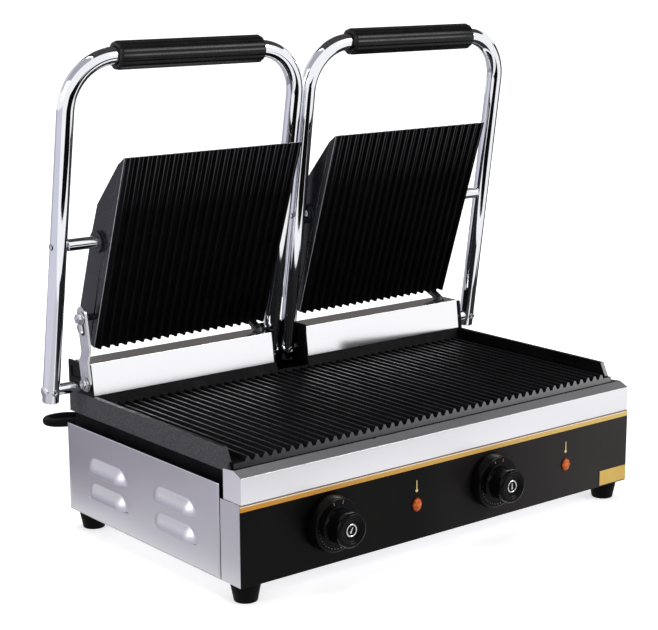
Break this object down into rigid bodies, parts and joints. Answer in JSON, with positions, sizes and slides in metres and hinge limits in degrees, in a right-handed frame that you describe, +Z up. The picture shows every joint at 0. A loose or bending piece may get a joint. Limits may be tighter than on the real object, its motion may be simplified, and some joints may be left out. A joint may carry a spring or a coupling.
{
  "type": "contact grill",
  "caption": "Countertop contact grill with a long ribbed lower plate, two hinged lids with tubular handles and ribbed plates, front knobs, a grease tray and rubber feet.",
  "frame": {"origin": "on the surface that the feet stand on, under the middle of the grill without its lead", "axes": "+Z up, +X to the right along the long side, and the front with the knobs faces -Y"},
  "size_m": [0.581, 0.4915, 0.4955],
  "materials": {
    "stainless": "satin stainless sheet",
    "bright_stainless": "bright satin stainless sheet",
    "fascia": "printed black front foil with a yellow stripe",
    "gold_plate": "plain gold-coloured plate",
    "cast_iron": "dark enamelled cast iron, fine grain",
    "heater_steel": "heat-stained steel",
    "plain_steel": "plain bright steel",
    "conduit_steel": "wound steel conduit",
    "chrome": "polished chrome tube",
    "black_paint": "black stove enamel",
    "black_plastic": "moulded black phenolic",
    "amber_lens": "orange lamp lens",
    "foot_rubber": "black rubber",
    "cord_rubber": "black rubber sheath"
  },
  "bodies": {
    "housing": {"base_plate": "stainless", "side_panel_left": "stainless", "side_panel_right": "stainless", "rear_panel": "stainless", "front_panel": "stainless", "front_fascia": "fascia", "blank_plate": "gold_plate", "lower_grill_plate": "cast_iron", "lower_heater_left": "heater_steel", "lower_heater_right": "heater_steel", "thermostat_left": "black_plastic", "thermostat_right": "black_plastic", "lamp_left": "amber_lens", "lamp_right": "amber_lens", "foot_front_left": "foot_rubber", "foot_front_right": "foot_rubber", "foot_rear_left": "foot_rubber", "foot_rear_right": "foot_rubber", "hinge_bracket_left": "black_paint", "hinge_bracket_right": "black_paint", "hinge_bracket_centre": "black_paint", "hinge_cover_left": "bright_stainless", "hinge_cover_right": "bright_stainless", "torsion_spring_left": "heater_steel", "torsion_spring_right": "heater_steel", "tilt_lever_pivot": "plain_steel", "wire_conduit_left": "conduit_steel", "wire_conduit_right": "conduit_steel", "terminal_block": "black_plastic", "cable_gland": "cord_rubber", "power_cord": "cord_rubber", "cord_coil": "cord_rubber", "cord_tie": "cord_rubber", "plug": "cord_rubber"},
    "left_handle": {"handle_left": "chrome", "grip_left": "black_plastic", "plate_rod_left": "plain_steel", "hinge_shaft_left": "plain_steel"},
    "left_plate": {"upper_grill_plate_left": "cast_iron", "upper_cover_left": "cast_iron", "upper_heater_left": "heater_steel"},
    "right_handle": {"handle_right": "chrome", "grip_right": "black_plastic", "plate_rod_right": "plain_steel", "hinge_shaft_right": "plain_steel"},
    "right_plate": {"upper_grill_plate_right": "cast_iron", "upper_cover_right": "cast_iron", "upper_heater_right": "heater_steel"},
    "lever": {"tilt_lever": "plain_steel"},
    "tray": {"grease_tray": "bright_stainless"},
    "left_knob": {"knob_left": "black_plastic", "thermostat_spindle_left": "plain_steel"},
    "right_knob": {"knob_right": "black_plastic", "thermostat_spindle_right": "plain_steel"}
  },
  "joints": [
    {"name": "left_lid_hinge", "type": "hinge", "parent": "housing", "child": "left_handle", "pos_m": [-0.147, 0.1448, 0.151], "axis": [1, 0, 0], "range_deg": [0, 76.41], "stiffness_Nm_per_rad": 6.4, "springref_deg": -17.19, "deforming": ["wire_conduit_left"]},
    {"name": "left_plate_pivot", "type": "hinge", "parent": "left_handle", "child": "left_plate", "pos_m": [-0.131, 0.11887, 0.29956], "axis": [1, 0, 0], "range_deg": [-5.62, 0]},
    {"name": "right_lid_hinge", "type": "hinge", "parent": "housing", "child": "right_handle", "pos_m": [0.147, 0.1448, 0.151], "axis": [1, 0, 0], "range_deg": [0, 78.21], "stiffness_Nm_per_rad": 6.4, "springref_deg": -17.19, "deforming": ["wire_conduit_right"]},
    {"name": "right_plate_pivot", "type": "hinge", "parent": "right_handle", "child": "right_plate", "pos_m": [0.131, 0.12355, 0.3003], "axis": [1, 0, 0], "range_deg": [-6.22, 0]},
    {"name": "tilt_lever_pivot", "type": "hinge", "parent": "housing", "child": "lever", "pos_m": [-0.2523, 0.1255, 0.157], "axis": [1, 0, 0], "range_deg": [0, 101.6]},
    {"name": "grease_tray_slide", "type": "slide", "parent": "housing", "child": "tray", "axis": [0, -1, 0], "range_m": [0, 0.06]},
    {"name": "left_knob_turn", "type": "hinge", "parent": "housing", "child": "left_knob", "pos_m": [-0.154, -0.1352, 0.061], "axis": [0, 1, 0], "range_deg": [0, 270]},
    {"name": "right_knob_turn", "type": "hinge", "parent": "housing", "child": "right_knob", "pos_m": [0.051, -0.1352, 0.061], "axis": [0, 1, 0], "range_deg": [0, 270]}
  ],
  "couplings": [
    {"joint": "left_plate_pivot", "follows": "left_lid_hinge", "ratio": -0.07344},
    {"joint": "right_plate_pivot", "follows": "right_lid_hinge", "ratio": -0.07942},
    {"joint": "tilt_lever_pivot", "follows": "left_lid_hinge", "ratio": 1.3288}
  ]
}
